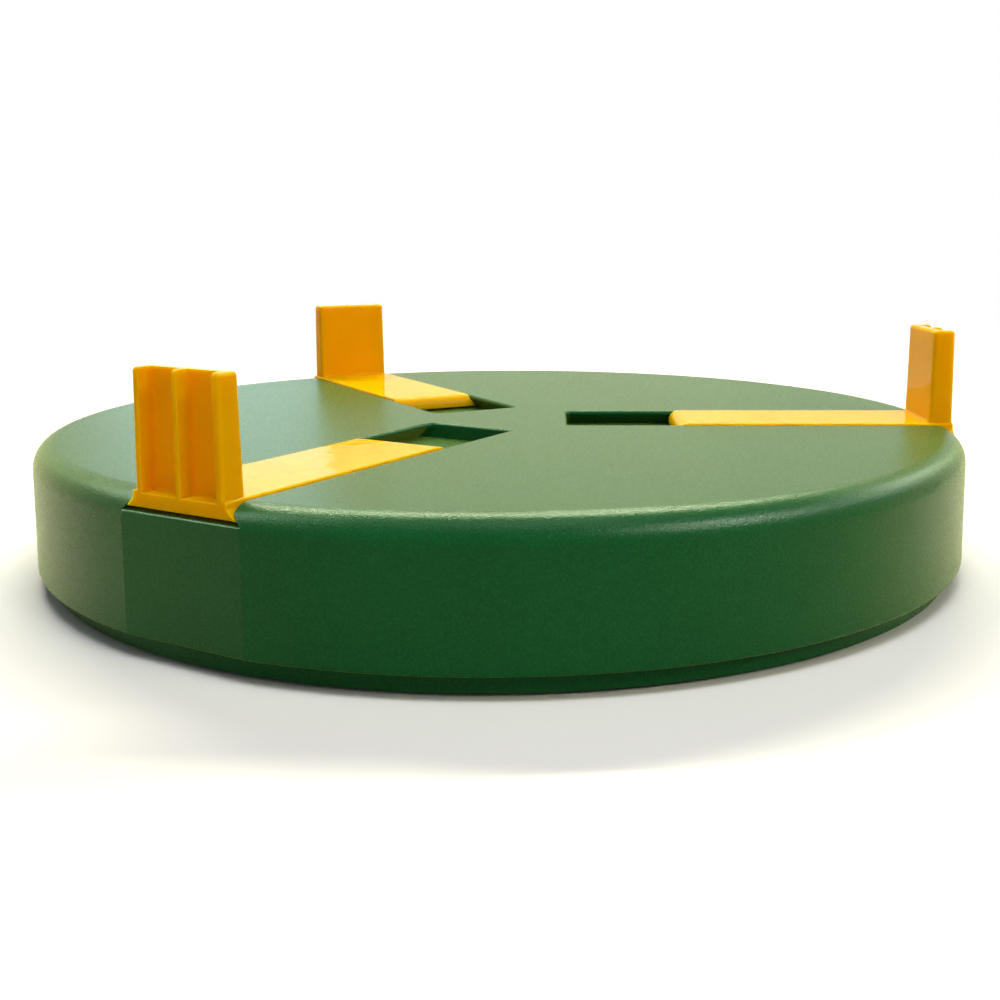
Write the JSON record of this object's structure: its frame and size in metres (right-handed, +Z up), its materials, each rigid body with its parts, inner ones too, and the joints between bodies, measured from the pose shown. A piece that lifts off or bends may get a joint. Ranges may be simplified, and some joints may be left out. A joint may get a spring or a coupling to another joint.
{
  "type": "turntable clamp stand",
  "caption": "Low round turntable stand of green plastic with yellow jaws that slide in dovetail channels to grip the foot of a pot, pail or tub.",
  "frame": {"origin": "on the turning axis, at the level of the surface that the feet stand on", "axes": "+Z up along the turning axis, +X outwards along the first jaw at rest"},
  "size_m": [0.2999, 0.3012, 0.0746],
  "materials": {
    "green_plastic": "moulded plastic with a fine grained surface and a soft sheen",
    "yellow_plastic": "glossy moulded plastic",
    "natural_plastic": "undyed slippery plastic",
    "steel": "bright zinc-plated or ground steel",
    "brass": "turned brass",
    "rubber": "matt black rubber"
  },
  "bodies": {
    "base": {"base_plate": "green_plastic", "hub_bush": "natural_plastic", "hub_cap": "green_plastic", "foot_1": "rubber", "foot_2": "rubber", "foot_3": "rubber", "foot_4": "rubber", "foot_5": "rubber", "foot_6": "rubber"},
    "bearing": {"ball_cage": "natural_plastic", "bearing_balls": "steel"},
    "turntable": {"deck": "green_plastic", "threaded_insert": "brass", "pivot_screw": "steel", "retaining_washer": "steel"},
    "jaw_slide_1": {"jaw_1": "yellow_plastic", "jaw_screw_1": "steel", "jaw_washer_1": "natural_plastic"},
    "jaw_slide_2": {"jaw_2": "yellow_plastic", "jaw_screw_2": "steel", "jaw_washer_2": "natural_plastic"},
    "jaw_slide_3": {"jaw_3": "yellow_plastic", "jaw_screw_3": "steel", "jaw_washer_3": "natural_plastic"}
  },
  "joints": [
    {"name": "turntable_spin", "type": "hinge", "parent": "base", "child": "turntable", "pos_m": [0, 0, 0.0318], "axis": [0, 0, 1], "continuous": true},
    {"name": "bearing_roll", "type": "hinge", "parent": "base", "child": "bearing", "pos_m": [0, 0, 0.0318], "axis": [0, 0, 1], "continuous": true},
    {"name": "jaw_1_travel", "type": "slide", "parent": "turntable", "child": "jaw_slide_1", "axis": [-1, 0, 0], "range_m": [0, 0.035]},
    {"name": "jaw_2_travel", "type": "slide", "parent": "turntable", "child": "jaw_slide_2", "axis": [0.5, -0.866, 0], "range_m": [0, 0.035]},
    {"name": "jaw_3_travel", "type": "slide", "parent": "turntable", "child": "jaw_slide_3", "axis": [0.5, 0.866, 0], "range_m": [0, 0.035]}
  ],
  "couplings": [
    {"joint": "bearing_roll", "follows": "turntable_spin", "ratio": 0.5}
  ]
}
